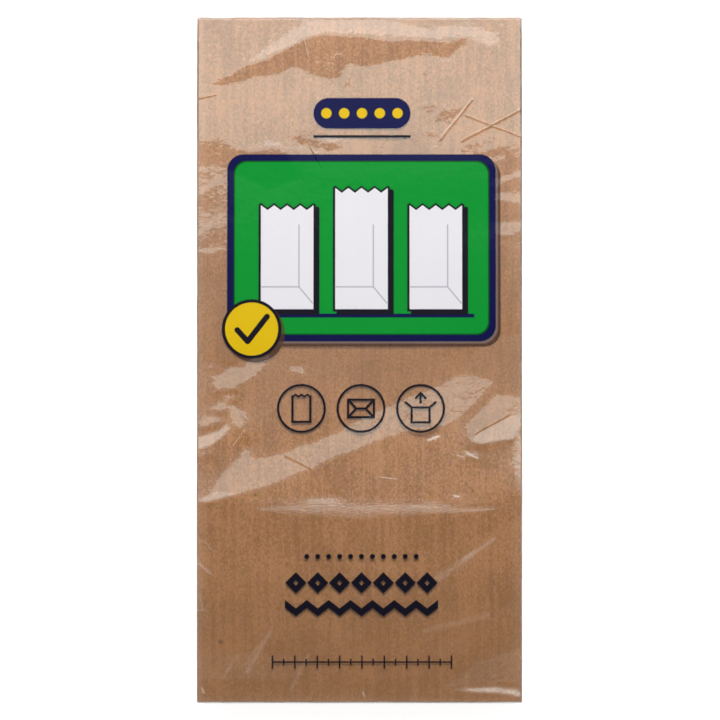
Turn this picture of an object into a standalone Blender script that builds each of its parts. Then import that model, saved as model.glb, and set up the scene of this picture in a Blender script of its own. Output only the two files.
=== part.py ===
"""A sealed pack of flat-folded paper lunch bags in a clear film wrap.

The pack lies on its back with the bags' folded bottoms facing up. X runs across the bags,
Y from the bottom folds to the open mouths, and Z up through the stack. The origin is on the
floor under the middle of the pack. Every size is in metres.
"""

import math

import bmesh
import bpy
from mathutils import Matrix, Vector

# The bags
BAG_COUNT = 50
BAG_WIDTH = 0.1302        # face of one bag, 5 1/8 in
BAG_LENGTH = 0.2715       # folded flat, from the mouth to the bottom fold
BASE_DEPTH = 0.0790       # the bag's base from front to back when it stands open
FLAP_LENGTH = 0.0775      # the folded-up bottom, as seen on the front of the flat bag
PANEL = 0.000095          # one panel and the gusset leaf pressed against it
INNER_GAP = 0.00005       # air between the two halves of a flat bag
FLAP_GAP = 0.00005        # air between the front panel and the folded-up bottom
FLAP_THICKNESS = 0.00015  # the folded-up bottom with its glued overlaps
BAG_GAP = 0.00026         # air between one bag and the next
GUSSET_FOLD = 0.001       # paper left between a gusset's fold and the bag's inside

# The film wrap
FILM = 0.00015            # thickness of one layer
FILM_CLEARANCE = 0.0003   # from the film to the bags
FILM_EDGE_RADIUS = 0.00075
EDGE_SEGMENTS = 3
SHARP_ANGLE = math.radians(30)
MOUTH_SPACE = 0.0012      # empty film past the bags' mouths
FOLD_SPACE = 0.0027       # empty film past the bags' bottom folds
LAP_WIDTH = 0.015         # overlap of the long seam down the back
LAP_GAP = 0.0003          # air between the two layers of the seam
LAP_END = 0.001           # the seam's lap stops this far from the end walls
END_FLAP_REACH = 0.6      # how much of an end's height each folded flap covers

# What follows from them
BODY = 2 * PANEL + INNER_GAP
FOLDED = BODY + FLAP_GAP + FLAP_THICKNESS
MOUTH_PITCH = BODY + BAG_GAP
FLAP_PITCH = FOLDED + BAG_GAP
GUSSET_DEPTH = BASE_DEPTH / 2
END_WALL = 3 * FILM
PACK_LENGTH = BAG_LENGTH + MOUTH_SPACE + FOLD_SPACE + 2 * END_WALL
FOLD_Y = -PACK_LENGTH / 2 + END_WALL + FOLD_SPACE
MOUTH_Y = FOLD_Y + BAG_LENGTH
FLAP_Y = FOLD_Y + FLAP_LENGTH
CREASE_Y = FOLD_Y + FLAP_LENGTH / 2
STACK_Z = 2 * FILM + LAP_GAP + FILM_CLEARANCE
FILM_BITE = FILM / 2         # how far joined layers of film reach into each other
CUT_MARGIN = 0.002           # how far a cutter reaches past what it cuts


def clear_scene():
    """Remove what the startup file holds."""
    for obj in list(bpy.data.objects):
        bpy.data.objects.remove(obj)


def collection(name):
    """A new collection in the scene."""
    made = bpy.data.collections.new(name)
    bpy.context.scene.collection.children.link(made)
    return made


def material(name, colour, roughness, alpha=1.0):
    """A plain Principled material."""
    made = bpy.data.materials.new(name)
    made.use_nodes = True
    shader = made.node_tree.nodes["Principled BSDF"]
    shader.inputs["Base Color"].default_value = (*colour, 1.0)
    shader.inputs["Roughness"].default_value = roughness
    shader.inputs["Metallic"].default_value = 0.0
    shader.inputs["Alpha"].default_value = alpha
    made.diffuse_color = (*colour, alpha)
    return made


def new_object(name, mesh, group, finish=None):
    """An object for a mesh, linked to a collection."""
    obj = bpy.data.objects.new(name, mesh)
    group.objects.link(obj)
    if finish:
        mesh.materials.append(finish)
    return obj


def as_cutter(obj):
    """Show an object as a wire only, so that it is a tool and not a piece."""
    obj.hide_render = True
    obj.display_type = "WIRE"
    return obj


def add_prism(bm, outline, direction):
    """Sweep a closed outline of points along a vector. A curve would merge points this close."""
    face = bm.faces.new([bm.verts.new(point) for point in outline])
    swept = bmesh.ops.extrude_face_region(bm, geom=[face])["geom"]
    corners = [item for item in swept if isinstance(item, bmesh.types.BMVert)]
    bmesh.ops.translate(bm, verts=corners, vec=direction)


def mesh_of(name, prisms):
    """One mesh that holds a prism for each (outline, direction)."""
    bm = bmesh.new()
    for outline, direction in prisms:
        add_prism(bm, outline, direction)
    bmesh.ops.recalc_face_normals(bm, faces=bm.faces)
    mesh = bpy.data.meshes.new(name)
    bm.to_mesh(mesh)
    bm.free()
    return mesh


def side_prism(outline, low_x, high_x):
    """A side outline of (y, z) points swept across from low_x to high_x."""
    return [Vector((low_x, y, z)) for y, z in outline], Vector((high_x - low_x, 0, 0))


def box_mesh(name, low, high):
    """A box between two corners."""
    bm = bmesh.new()
    size = [b - a for a, b in zip(low, high)]
    centre = [(a + b) / 2 for a, b in zip(low, high)]
    place = Matrix.Translation(centre) @ Matrix.Diagonal((*size, 1))
    bmesh.ops.create_cube(bm, size=1, matrix=place)
    mesh = bpy.data.meshes.new(name)
    bm.to_mesh(mesh)
    bm.free()
    return mesh


def boolean(obj, other, operation):
    """Cut or join with a Boolean modifier."""
    step = obj.modifiers.new(other.name, "BOOLEAN")
    step.operation = operation
    step.object = other
    step.solver = "EXACT"


def round_edges(obj, radius):
    """Round all the sharp edges of an object."""
    step = obj.modifiers.new("edges", "BEVEL")
    step.width = radius
    step.segments = EDGE_SEGMENTS
    step.limit_method = "ANGLE"
    step.angle_limit = SHARP_ANGLE


def pitch_at(y):
    """Room that one bag takes up in the stack: full under the flap, less towards the mouth."""
    share = max(0.0, (y - FLAP_Y) / (MOUTH_Y - FLAP_Y))
    return FLAP_PITCH + (MOUTH_PITCH - FLAP_PITCH) * share


def bag_line(index, y, height):
    """A side point of one bag, height above its own underside."""
    return y, STACK_Z + index * pitch_at(y) + height


def bag_outline(index):
    """Side view of one folded bag. The slot under the flap ends at the front panel's crease."""
    top_of_gap = BODY + FLAP_GAP
    return [
        bag_line(index, MOUTH_Y, 0),
        bag_line(index, FLAP_Y, 0),
        bag_line(index, FOLD_Y, 0),
        bag_line(index, FOLD_Y, FOLDED),
        bag_line(index, FLAP_Y, FOLDED),
        bag_line(index, FLAP_Y, top_of_gap),
        bag_line(index, CREASE_Y, top_of_gap),
        bag_line(index, CREASE_Y, BODY),
        bag_line(index, FLAP_Y, BODY),
        bag_line(index, MOUTH_Y, BODY),
    ]


def slot_outline(index):
    """Side view of the air between a bag's halves, from the crease out past the mouth."""
    past_mouth = MOUTH_Y + CUT_MARGIN
    return [
        bag_line(index, past_mouth, PANEL),
        bag_line(index, FLAP_Y, PANEL),
        bag_line(index, CREASE_Y, PANEL),
        bag_line(index, CREASE_Y, PANEL + INNER_GAP),
        bag_line(index, FLAP_Y, PANEL + INNER_GAP),
        bag_line(index, past_mouth, PANEL + INNER_GAP),
    ]


def add_bag(index, group, cutters, finish):
    """One flat-folded bag: side gussets, an open mouth and the bottom folded up."""
    name = f"bag_{index + 1:02d}"
    edge = BAG_WIDTH / 2
    mesh = mesh_of(name, [side_prism(bag_outline(index), -edge, edge)])
    bag = new_object(name, mesh, group, finish)
    gusset = edge - GUSSET_DEPTH
    mouth = gusset - GUSSET_FOLD
    outline = slot_outline(index)
    slots = mesh_of(name + "_slots", [
        side_prism(outline, -edge - CUT_MARGIN, -gusset),
        side_prism(outline, -mouth, mouth),
        side_prism(outline, gusset, edge + CUT_MARGIN),
    ])
    boolean(bag, as_cutter(new_object(name + "_slots", slots, cutters)), "DIFFERENCE")


def film_outline(offset):
    """Side view of the film's inside, moved outwards by offset."""
    low_y = FOLD_Y - FOLD_SPACE - offset
    high_y = MOUTH_Y + MOUTH_SPACE + offset
    last = BAG_COUNT - 1
    flap_z = STACK_Z + last * FLAP_PITCH + FOLDED + FILM_CLEARANCE + offset
    mouth_z = STACK_Z + last * MOUTH_PITCH + BODY + FILM_CLEARANCE + offset
    slope = (mouth_z - flap_z) / (MOUTH_Y - FLAP_Y)
    end_z = mouth_z + slope * (high_y - MOUTH_Y)
    floor_z = FILM - offset
    return [
        (low_y, floor_z),
        (high_y, floor_z),
        (high_y, end_z),
        (FLAP_Y, flap_z),
        (low_y, flap_z),
    ]


def film_block(name, offset, group, finish=None):
    """The solid that the film encloses, with rounded edges."""
    half = BAG_WIDTH / 2 + FILM_CLEARANCE + offset
    mesh = mesh_of(name, [side_prism(film_outline(offset), -half, half)])
    block = new_object(name, mesh, group, finish)
    round_edges(block, FILM_EDGE_RADIUS - FILM + offset)
    return block


def end_flap(name, wall_y, outward, edge_z, reach, layers, group):
    """A flap with 45 degree sides, folded over an end wall. reach is signed: up or down."""
    half = BAG_WIDTH / 2 + FILM_CLEARANCE + FILM - FILM_EDGE_RADIUS
    narrow = half - abs(reach)
    start_y = wall_y - outward * FILM_BITE
    outline = [
        Vector((-half, start_y, edge_z)),
        Vector((half, start_y, edge_z)),
        Vector((narrow, start_y, edge_z + reach)),
        Vector((-narrow, start_y, edge_z + reach)),
    ]
    depth = FILM_BITE + layers * FILM
    mesh = mesh_of(name, [(outline, Vector((0, outward * depth, 0)))])
    return as_cutter(new_object(name, mesh, group))


def add_film(group, tools, finish):
    """The film wrap: a shell with a lap seam down its back and folded ends."""
    film = film_block("film_wrap", FILM, group, finish)
    inside = as_cutter(film_block("film_inside", 0, tools))
    boolean(film, inside, "DIFFERENCE")

    seam_x = -LAP_WIDTH / 2
    low_y = FOLD_Y - FOLD_SPACE + LAP_END
    high_y = MOUTH_Y + MOUTH_SPACE - LAP_END
    slot = box_mesh(
        "seam_slot",
        (seam_x - LAP_GAP, low_y, -CUT_MARGIN),
        (seam_x, high_y, FILM + LAP_GAP / 2),
    )
    boolean(film, as_cutter(new_object("seam_slot", slot, tools)), "DIFFERENCE")
    riser_x = seam_x - LAP_GAP - FILM_BITE - FILM
    riser = box_mesh(
        "seam_riser",
        (riser_x, low_y, FILM - FILM_BITE),
        (riser_x + FILM, high_y, FILM + LAP_GAP + FILM_BITE),
    )
    boolean(film, as_cutter(new_object("seam_riser", riser, tools)), "UNION")
    lap = box_mesh(
        "seam_lap",
        (riser_x - FILM_BITE, low_y, FILM + LAP_GAP),
        (seam_x + LAP_WIDTH, high_y, 2 * FILM + LAP_GAP),
    )
    boolean(film, as_cutter(new_object("seam_lap", lap, tools)), "UNION")

    outline = film_outline(FILM)
    ends = (("fold", outline[0][0], -1, outline[4][1]), ("mouth", outline[1][0], 1, outline[2][1]))
    for end, wall_y, outward, top in ends:
        flat = top - 2 * FILM_EDGE_RADIUS
        reach = END_FLAP_REACH * flat
        upper = end_flap(f"{end}_upper_flap", wall_y, outward, top - FILM_EDGE_RADIUS, -reach, 1, tools)
        lower = end_flap(f"{end}_lower_flap", wall_y, outward, FILM_EDGE_RADIUS, reach, 2, tools)
        boolean(film, upper, "UNION")
        boolean(film, lower, "UNION")


def main():
    clear_scene()
    pack = collection("paper_bag_pack")
    tools = collection("cutters")
    paper = material("kraft_paper", (0.42, 0.235, 0.125), 0.85)
    clear = material("clear_film", (0.90, 0.90, 0.88), 0.12, 0.25)
    for index in range(BAG_COUNT):
        add_bag(index, pack, tools, paper)
    add_film(pack, tools, clear)


main()
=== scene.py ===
import math

import bmesh
import bpy
import numpy as np
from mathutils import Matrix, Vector


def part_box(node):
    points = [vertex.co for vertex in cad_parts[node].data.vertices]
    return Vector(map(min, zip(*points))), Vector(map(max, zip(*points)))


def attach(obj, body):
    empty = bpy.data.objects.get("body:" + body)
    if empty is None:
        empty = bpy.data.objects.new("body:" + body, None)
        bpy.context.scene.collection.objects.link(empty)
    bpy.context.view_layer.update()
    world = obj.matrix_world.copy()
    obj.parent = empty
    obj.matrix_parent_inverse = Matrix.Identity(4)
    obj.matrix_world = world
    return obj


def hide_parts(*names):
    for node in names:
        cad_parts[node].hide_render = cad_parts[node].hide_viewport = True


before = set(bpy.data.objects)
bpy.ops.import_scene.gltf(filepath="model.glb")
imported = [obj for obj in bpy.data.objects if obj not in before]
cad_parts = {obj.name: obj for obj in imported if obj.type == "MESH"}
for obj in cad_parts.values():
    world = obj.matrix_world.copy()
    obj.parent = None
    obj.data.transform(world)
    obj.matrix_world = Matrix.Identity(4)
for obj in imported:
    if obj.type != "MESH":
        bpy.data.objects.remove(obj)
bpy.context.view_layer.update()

mm = 0.001
white = (1.0, 1.0, 1.0, 1.0)
filmLow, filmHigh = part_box("film_wrap")
bagNames = sorted(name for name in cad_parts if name.startswith("bag_"))
print("frame: film", filmLow, filmHigh, "bags", len(bagNames))

# How the photograph sees the pack: straight down on its front, mouths of the bags upwards
view = dict(
    metresPerPixel=0.4024 * mm,  # on the front of the pack
    centre=(359.5, 360.0),       # pixel over the middle of the pack
    side=720,                    # pixels along one side of the picture
    distance=1.6,                # from the camera to the front
    sensor=36.0,
)


def fromPixels(points):
    # pixels of the photograph to metres across and up the pack's front, which drops
    # away from the camera towards the mouths
    scale = view["metresPerPixel"]
    spots = (np.asarray(points, float) - view["centre"]) * (scale, -scale)
    depth = restHeight(-1.0) - restHeight(spots[..., 1:])
    return spots * (1 + depth / view["distance"])


# Shared shape of the stack, as the paper lies in it
stack = dict(
    flapLength=77.5 * mm,      # the folded-up base
    panel=0.095 * mm,
    innerGap=0.05 * mm,
    flapGap=0.05 * mm,
    flapThickness=0.15 * mm,
    gussetDepth=39.5 * mm,
    gussetFold=1.0 * mm,
)
bodyHeight = 2 * stack["panel"] + stack["innerGap"]
foldedHeight = bodyHeight + stack["flapGap"] + stack["flapThickness"]


def smoothstep(low, high, value):
    # 0 below low, 1 above high, and 3t^2 - 2t^3 between them
    t = np.clip((value - low) / (high - low), 0.0, 1.0)
    return t * t * (3 - 2 * t)


def ripple(x, y, lengthX, lengthY, seed, count=28):
    # sum of cosines in random directions, wavelengths about lengthX by lengthY, near -1 to 1
    chance = np.random.default_rng(seed)
    angle = chance.uniform(0, 2 * np.pi, count)
    pace = chance.uniform(0.6, 1.5, count) * 2 * np.pi
    phase = chance.uniform(0, 2 * np.pi, count)
    total = np.zeros(np.broadcast(x, y).shape)
    for a, p, f in zip(angle, pace, phase):
        total += np.cos(p * (np.cos(a) * x / lengthX + np.sin(a) * y / lengthY) + f)
    return total / math.sqrt(count)


def outlineDistance(x, y, outline):
    # distance to the nearest edge of a closed outline, positive inside, where a line to the
    # right crosses the outline an odd number of times
    nearest = np.full(x.shape, np.inf)
    inside = np.zeros(x.shape, bool)
    for (ax, ay), (bx, by) in zip(outline, np.roll(outline, -1, axis=0)):
        ex, ey = bx - ax, by - ay
        share = np.clip(((x - ax) * ex + (y - ay) * ey) / (ex * ex + ey * ey), 0, 1)
        nearest = np.minimum(nearest, np.hypot(x - ax - ex * share, y - ay - ey * share))
        crosses = (ay > y) != (by > y)
        height = ey if ey else 1.0
        inside ^= crosses & (x < ax + (y - ay) / height * ex)
    return np.where(inside, nearest, -nearest)


def addPiece(name, points, faces, finishes, replaced, sharp=None, haze=None):
    # a mesh of its own, at the origin, riding on the one body; a second finish goes on its front
    mesh = bpy.data.meshes.new(name)
    mesh.from_pydata(points, [], faces)
    if haze is not None:
        mesh.attributes.new("haze", "FLOAT", "POINT").data.foreach_set("value", haze)
    shape = bmesh.new()
    shape.from_mesh(mesh)
    bmesh.ops.remove_doubles(shape, verts=shape.verts, dist=1e-6)
    bmesh.ops.recalc_face_normals(shape, faces=shape.faces)
    for face in shape.faces:
        face.material_index = int(len(finishes) > 1 and face.normal.z > 0.7)
    shape.to_mesh(mesh)
    shape.free()
    mesh.shade_smooth()
    if sharp:
        mesh.set_sharp_from_angle(angle=math.radians(sharp))
    for finish in finishes:
        mesh.materials.append(finish)
    piece = bpy.data.objects.new(name, mesh)
    bpy.context.scene.collection.objects.link(piece)
    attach(piece, "root")
    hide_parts(replaced)
    return piece


class Wire:
    # a node's socket; arithmetic on it adds Math nodes
    def __init__(self, finish, socket):
        self.finish = finish
        self.socket = socket

    def math(self, operation, *values, clamp=False):
        settings = {"operation": operation, "use_clamp": clamp}
        return self.finish.node("ShaderNodeMath", settings, [self, *values])

    def vector(self, operation, *values):
        output = "Value" if operation in ("LENGTH", "DISTANCE") else "Vector"
        return self.finish.node("ShaderNodeVectorMath", {"operation": operation}, [self, *values], output)

    def flipped(self, operation, value):
        return self.finish.node("ShaderNodeMath", {"operation": operation}, [value, self])

    def __add__(self, other):
        return self.math("ADD", other)

    def __sub__(self, other):
        return self.math("SUBTRACT", other)

    def __mul__(self, other):
        return self.math("MULTIPLY", other)

    def __truediv__(self, other):
        return self.math("DIVIDE", other)

    def __pow__(self, other):
        return self.math("POWER", other)

    def __rsub__(self, other):
        return self.flipped("SUBTRACT", other)

    def __rtruediv__(self, other):
        return self.flipped("DIVIDE", other)

    def __abs__(self):
        return self.math("ABSOLUTE")

    __radd__ = __add__
    __rmul__ = __mul__

    def least(self, other):
        return self.math("MINIMUM", other)

    def most(self, other):
        return self.math("MAXIMUM", other)

    def clamped(self):
        return self.math("ADD", 0.0, clamp=True)


class Finish:
    # a material's nodes or the world's, and the one way to add to them
    def __init__(self, owner):
        self.owner = owner
        owner.use_nodes = True
        self.tree = owner.node_tree
        self.tree.nodes.clear()

    def node(self, kind, settings=None, inputs=None, output=0):
        made = self.tree.nodes.new(kind)
        for key, value in (settings or {}).items():
            setattr(made, key, value)
        pairs = inputs.items() if isinstance(inputs, dict) else enumerate(inputs or [])
        for key, value in pairs:
            if isinstance(value, Wire):
                self.tree.links.new(value.socket, made.inputs[key])
            else:
                made.inputs[key].default_value = value
        return None if output is None else Wire(self, made.outputs[output])

    def axes(self, vector):
        split = self.node("ShaderNodeSeparateXYZ", inputs=[vector]).socket.node
        return [Wire(self, output) for output in split.outputs]

    def place(self):
        # Object coordinates in millimetres
        return [axis * 1000.0 for axis in self.axes(self.node("ShaderNodeTexCoord", output="Object"))]

    def at(self, x, y, z=0.0):
        return self.node("ShaderNodeCombineXYZ", inputs=[x, y, z])

    def noise(self, point, detail=2.0, roughness=0.5):
        inputs = {"Vector": point, "Scale": 1.0, "Detail": detail, "Roughness": roughness}
        return self.node("ShaderNodeTexNoise", inputs=inputs)

    def blend(self, share, first, second):
        settings = {"data_type": "RGBA"}
        return self.node("ShaderNodeMix", settings, {0: share, 6: first, 7: second}, output=2)

    def mixShader(self, share, first, second):
        return self.node("ShaderNodeMixShader", inputs=[share, first, second])

    def ramp(self, value, low, high, kind="LINEAR"):
        # 0 at low, 1 at high, straight or smooth between them, held outside
        settings = {"interpolation_type": kind}
        return self.node("ShaderNodeMapRange", settings, [value, low, high, 0.0, 1.0])

    def done(self, surface):
        kind = "World" if isinstance(self.owner, bpy.types.World) else "Material"
        self.node(f"ShaderNodeOutput{kind}", inputs={"Surface": surface}, output=None)
        return self.owner


def srgb(red, green, blue):
    # an 8-bit screen colour as linear light
    parts = [c / 255 for c in (red, green, blue)]
    return (*[c / 12.92 if c <= 0.04045 else ((c + 0.055) / 1.055) ** 2.4 for c in parts], 1.0)


# Kraft paper
kraft = dict(
    middle=(0.432, 0.195, 0.079, 1.0),
    pale=(0.595, 0.278, 0.120, 1.0),
    dark=(0.285, 0.124, 0.045, 1.0),
    rosy=(0.445, 0.200, 0.105, 1.0),
    olive=(0.365, 0.190, 0.062, 1.0),
    speck=(0.085, 0.042, 0.030, 1.0),
    roughness=0.86,
    specular=0.2,
    grain=4.9,                 # contrast of the fine grain, the clouds and the streaks
    cloud=2.4,
    streak=2.2,
    tinted=0.5,                # share of rosy and olive where they show most
    fibres=0.35,
    panelShadow=0.40,          # painted shadow of the panel: the front bag is this much darker behind it, painted shade on its folded base, and more painted shade towards the fold
    baseShade=0.20,               # on its folded base,
    foldShade=0.30,             # and more towards the fold
    shades=(("a", 1.0), ("b", 0.85), ("c", 0.7)),  # of the papers that the stack takes by turns
)

# Specks that the photograph shows: (place in pixels, radius in mm, strength)
specks = [
    ((220.5, 642.0), 1.35, 0.90),
    ((255.5, 495.0), 0.60, 0.75),
    ((281.0, 460.5), 0.50, 0.60),
    ((461.5, 444.0), 0.65, 0.70),
    ((411.5, 411.0), 0.55, 0.50),
    ((428.5, 96.5), 0.60, 0.30),
    ((307.0, 409.5), 0.30, 0.50),
]

# Painted highlight and shade lines along the creases down the middle of the front bag: (place in pixels,
# strength, colour)
paintedCreaseLines = [(356.5, 0.22, "pale"), (364.6, 0.32, "pale"), (362.0, 0.13, "speck")]


def kraftPaper(name, front=False, shade=1.0):
    finish = Finish(bpy.data.materials.new(name))
    x, y, z = finish.place()
    cloud = finish.noise(finish.at(x * 0.06, y * 0.045, z * 0.2), 3.0, 0.6)
    grain = finish.noise(finish.at(x * 1.15, y * 0.85, z * 2.0), 4.0, 0.7)
    streak = finish.noise(finish.at(x * 0.45, y * 0.018, z * 0.4), 3.0, 0.6)
    tint = finish.noise(finish.at(x * 0.35 + 40.0, y * 0.30, z * 0.5), 3.0, 0.65)
    tone = 0.5 + (grain - 0.5) * kraft["grain"] + (cloud - 0.5) * kraft["cloud"]
    tone = (tone + (streak - 0.5) * kraft["streak"]).clamped()
    colour = finish.blend(tone, kraft["dark"], kraft["pale"])
    colour = finish.blend(0.3, colour, kraft["middle"])
    colour = finish.blend(finish.ramp(tint, 0.50, 0.66) * kraft["tinted"], colour, kraft["rosy"])
    colour = finish.blend(finish.ramp(tint, 0.48, 0.34) * kraft["tinted"], colour, kraft["olive"])
    fibre = finish.noise(finish.at(x * 1.7 + 9.0, y * 0.8, z * 2.0), 1.0, 0.5)
    colour = finish.blend(finish.ramp(fibre, 0.63, 0.74) * kraft["fibres"], colour, kraft["speck"])
    if front:
        for pixel, radius, strength in specks:
            spotX, spotY = fromPixels(pixel) / mm
            away = finish.at(x, y).vector("DISTANCE", (spotX, spotY, 0.0))
            spot = finish.ramp(away, radius, radius * 0.3) * strength
            colour = finish.blend(spot, colour, kraft["speck"])
        # painted highlights and a painted shade line along creases in the paper
        for pixel, strength, lineColour in paintedCreaseLines:
            lineX = fromPixels((pixel, view["side"]))[0] / mm
            line = finish.ramp(abs(x - lineX), 0.42, 0.1)
            broken = finish.ramp(finish.noise(finish.at(x * 0.3, y * 0.05)), 0.3, 0.55)
            colour = finish.blend(line * broken * strength, colour, kraft[lineColour])
        # painted shadow and shade: darker behind the panel, on the folded base, and more towards the fold
        paintedShade = finish.ramp(y, -34.0, -2.0) * finish.ramp(y, 110.0, 10.0) * kraft["panelShadow"]
        paintedShade = paintedShade + finish.ramp(y, -57.0, -58.0) * kraft["baseShade"]
        paintedShade = paintedShade + finish.ramp(y, -80.0, -112.0) * kraft["foldShade"]
        colour = finish.blend(paintedShade, colour, kraft["dark"])
    if shade != 1.0:
        colour = finish.blend(1 - shade, colour, kraft["dark"])
    bump = finish.node("ShaderNodeBump", inputs={
        "Strength": 0.4, "Distance": 0.05 * mm, "Height": grain})
    surface = finish.node("ShaderNodeBsdfPrincipled", inputs={
        "Base Color": colour, "Roughness": kraft["roughness"], "Specular IOR Level": kraft["specular"],
        "Normal": bump})
    return finish.done(surface)


# One bag folded flat, seen from the side as three layers: lower panel, upper panel and folded base
bag = dict(
    stations=(7, 7, 20),       # steps from the fold to the crease, to the flap's edge, to the mouth
    columns=9,                 # between the edges
    topStations=(20, 20, 66),
    topColumns=64,
    wave=0.05 * mm,            # how far the paper lies off flat,
    waveLimits=(-1.6, 1.2),    # and no further down and up than these times that
    slipX=0.2 * mm,            # how far one bag lies off the stack sideways
    slipY=0.25 * mm,
    turn=0.0009,               # and how far askew, in radians
    foldReach=2.55 * mm,       # how far the lowest bags are pressed out towards the end walls,
    mouthReach=1.9 * mm,
    frontReach=(0.97, 0.15),   # the front bag's share of that, at its fold and at its mouth,
    reachBags=2.6,             # and the bags below it catch up within about this many bags
    slotLeft=0.002 * mm,       # air left in the slot at a gusset's fold
    slipSeed=500,
    waveSeed=900,
)


def addBag(name, index, last, finish):
    # side outline of (y, height) runs carried across x; heights follow the underside of the bag
    low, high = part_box(name)
    steps = bag["topStations"] if last else bag["stations"]
    near = math.exp((index + 1 - len(bagNames)) / bag["reachBags"])
    foldShare, mouthShare = [1 - (1 - share) * near for share in bag["frontReach"]]
    fold, mouth = low[1] - bag["foldReach"] * foldShare, high[1] + bag["mouthReach"] * mouthShare
    flap = low[1] + stack["flapLength"]
    crease = (fold + flap) / 2
    base = np.linspace(fold, crease, steps[0] + 1)
    under = np.linspace(crease, flap, steps[1] + 1)
    body = np.linspace(flap, mouth, steps[2] + 1)
    ends = (body[::-1], under[::-1][1:])
    lower, upper = stack["panel"], stack["panel"] + stack["innerGap"]
    flapUnder = bodyHeight + stack["flapGap"]
    runs = [
        (np.concatenate([*ends, base[::-1][1:]]), 0.0),                  # underside, mouth to fold
        (np.concatenate([base, under[1:]]), foldedHeight),               # over the folded base
        (under[::-1], flapUnder),                                        # back under it
        (np.concatenate([under, body[1:]]), bodyHeight),                 # front panel, crease to mouth
        (np.concatenate(ends), upper),                                   # into the bag
        (np.concatenate([under, body[1:]]), lower),                      # and out again
    ]
    lengths = [len(run) for run, _ in runs]
    starts = np.concatenate([[0], np.cumsum(lengths)])
    alongY = np.concatenate([run for run, _ in runs])
    height = np.concatenate([np.full(len(run), h) for run, h in runs])
    rise = low[2] - (high[2] - foldedHeight)
    underside = high[2] - foldedHeight + rise * np.clip((alongY - flap) / (high[1] - flap), 0, 1.02)

    edge = high[0]
    gusset = edge - stack["gussetDepth"]
    inner = np.linspace(-edge, edge, (bag["topColumns"] if last else bag["columns"]) + 2)
    folds = gusset - stack["gussetFold"] * np.array([-0.2, 0.0, 1.0, 1.2])
    across = np.unique(np.concatenate([inner, folds, -folds]))
    x = across[:, None]
    closed = (np.abs(x) <= gusset + 1e-9) & (np.abs(x) >= gusset - stack["gussetFold"] - 1e-9)
    slot = (height > lower * 0.9) & (height < upper * 1.1)
    middle = (lower + upper) / 2
    pinched = middle + np.sign(height - middle) * bag["slotLeft"] / 2
    lifted = np.where(closed & slot, pinched, height)

    chance = np.random.default_rng(bag["slipSeed"] + index)
    slipX, slipY = chance.uniform(-1, 1, 2) * (0 if last else 1)
    turn = chance.uniform(-1, 1) * (0 if last else bag["turn"])
    wave = bag["wave"] * ripple(x, alongY, 60 * mm, 80 * mm, bag["waveSeed"] + index, 9)
    least, most = [share * bag["wave"] for share in bag["waveLimits"]]
    points = np.stack([
        x + slipX * bag["slipX"] - turn * alongY * 0.5,
        alongY + slipY * bag["slipY"] + turn * x,
        underside + lifted + np.clip(wave, least, most),
    ], axis=-1)

    rows, count = points.shape[:2]
    number = np.arange(rows * count).reshape(rows, count)
    after = np.roll(number, -1, axis=1)
    quads = np.stack([number[:-1], after[:-1], after[1:], number[1:]], axis=-1).reshape(-1, 4)
    faces = quads.tolist()
    nBase = len(base)
    for row in (0, rows - 1):
        line = [number[row, a:b] for a, b in zip(starts[:-1], starts[1:])]
        bottom = line[0][::-1]                       # fold to mouth
        slotTop = line[4][::-1]                      # crease to mouth
        for a, b in (
            (bottom[:nBase - 1], line[1][:nBase - 1]),
            (bottom[nBase - 1:], line[5]),
            (slotTop, line[3]),
            (line[2][::-1], line[1][nBase - 1:]),
        ):
            faces += np.stack([a[:-1], a[1:], b[1:], b[:-1]], axis=-1).tolist()
        at = nBase - 1
        faces.append([bottom[at - 1], bottom[at], line[5][0], slotTop[0], line[3][0],
                      line[2][-1], line[1][at], line[1][at - 1]])
    faces = [[int(corner) for corner in face] for face in faces]
    addPiece(f"paper_{name}", points.reshape(-1, 3), faces, [finish], name, sharp=35)


# The film wrap
film = dict(
    radius=0.75 * mm,
    arcSteps=3,
    frontStep=0.72 * mm,
    rowStep=0.76 * mm,
    sideSteps=8,
    backStep=5.5 * mm,
    ringStep=1.0 * mm,
    foldWall=-138.1 * mm,      # the end walls, at the bags' folds and at their mouths
    mouthWall=139.0 * mm,
    mouthSpread=0.35 * mm,     # wider by this on each side at the mouths
    clearance=0.45 * mm,       # from the bags' front to the film's outside
    puff=0.55 * mm,            # how far the slack film stands off the bags
    hold=5.0,                  # how firmly an outlined patch keeps its lean,
    slack=0.12,                # and the film elsewhere
    across=0.25,               # stiffness against slopes across the pack
    settle=14 * mm,            # a wave in slack film dies away over this length
    lowest=-0.3 * mm,          # how far it may dip towards the bags
    rounds=700,                # of settling
    endReach=0.6,              # share of an end's height that each folded flap covers
    upperFlap=0.2 * mm,
    lowerFlap=0.4 * mm,
    seamX=-7.5 * mm,
    seamWidth=15 * mm,
    seamGroove=0.3 * mm,
    seamDepth=0.2 * mm,
    sideWave=0.22 * mm,
    edgeHaze=0.12,             # share of light scattered at the front's sides and at its fold end
    foldHaze=0.10,
)

# The lamp that the film mirrors: its near edge, across a level height over the pack
glareLamp = dict(edge=0.54, height=3.0)

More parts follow.
